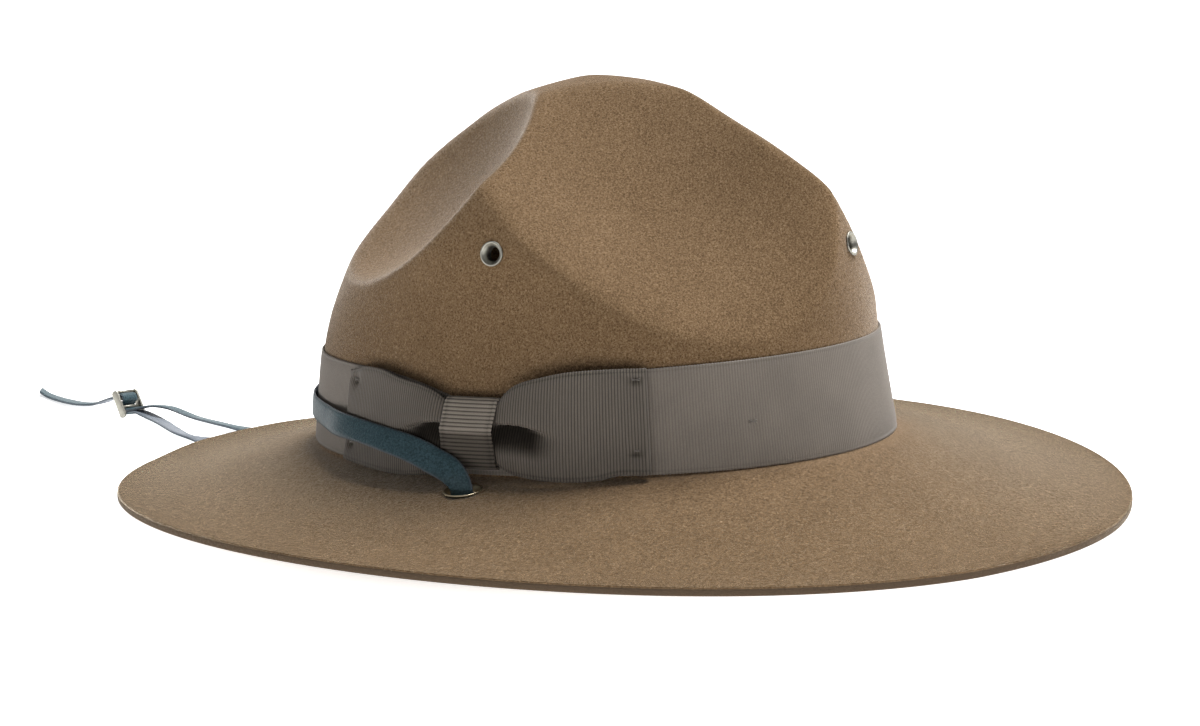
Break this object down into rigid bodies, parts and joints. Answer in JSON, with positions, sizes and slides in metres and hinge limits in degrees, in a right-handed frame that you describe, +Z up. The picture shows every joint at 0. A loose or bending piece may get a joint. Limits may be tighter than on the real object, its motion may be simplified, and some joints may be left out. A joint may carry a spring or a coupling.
{
  "type": "campaign hat",
  "caption": "Felt campaign hat with a pinched, dented crown, a wide level brim, a ribbon band with a flat side bow, eyelets and a slide-adjusted leather chin strap laid on the surface.",
  "frame": {"origin": "centre of the brim's rim on the surface the hat rests on", "axes": "+Y towards the back of the hat, +X towards the wearer's left side, where the bow is, +Z up"},
  "size_m": [0.326, 0.5044, 0.1463],
  "materials": {
    "felt": "matt napped felt",
    "ribbon": "ribbed satin ribbon",
    "leather": "pebbled, semi-matt",
    "nickel": "pale polished nickel",
    "brass": "worn brass"
  },
  "bodies": {
    "root": {"felt_body": "felt", "hat_band": "ribbon", "bow_rear_loop": "ribbon", "bow_front_loop": "ribbon", "bow_knot": "ribbon", "crown_eyelet_left": "nickel", "crown_eyelet_right": "nickel", "crown_eyelet_front": "nickel", "crown_eyelet_rear": "nickel", "brim_eyelet_left": "brass", "brim_eyelet_right": "brass", "chin_strap": "leather", "strap_slide": "nickel"}
  },
  "joints": []
}
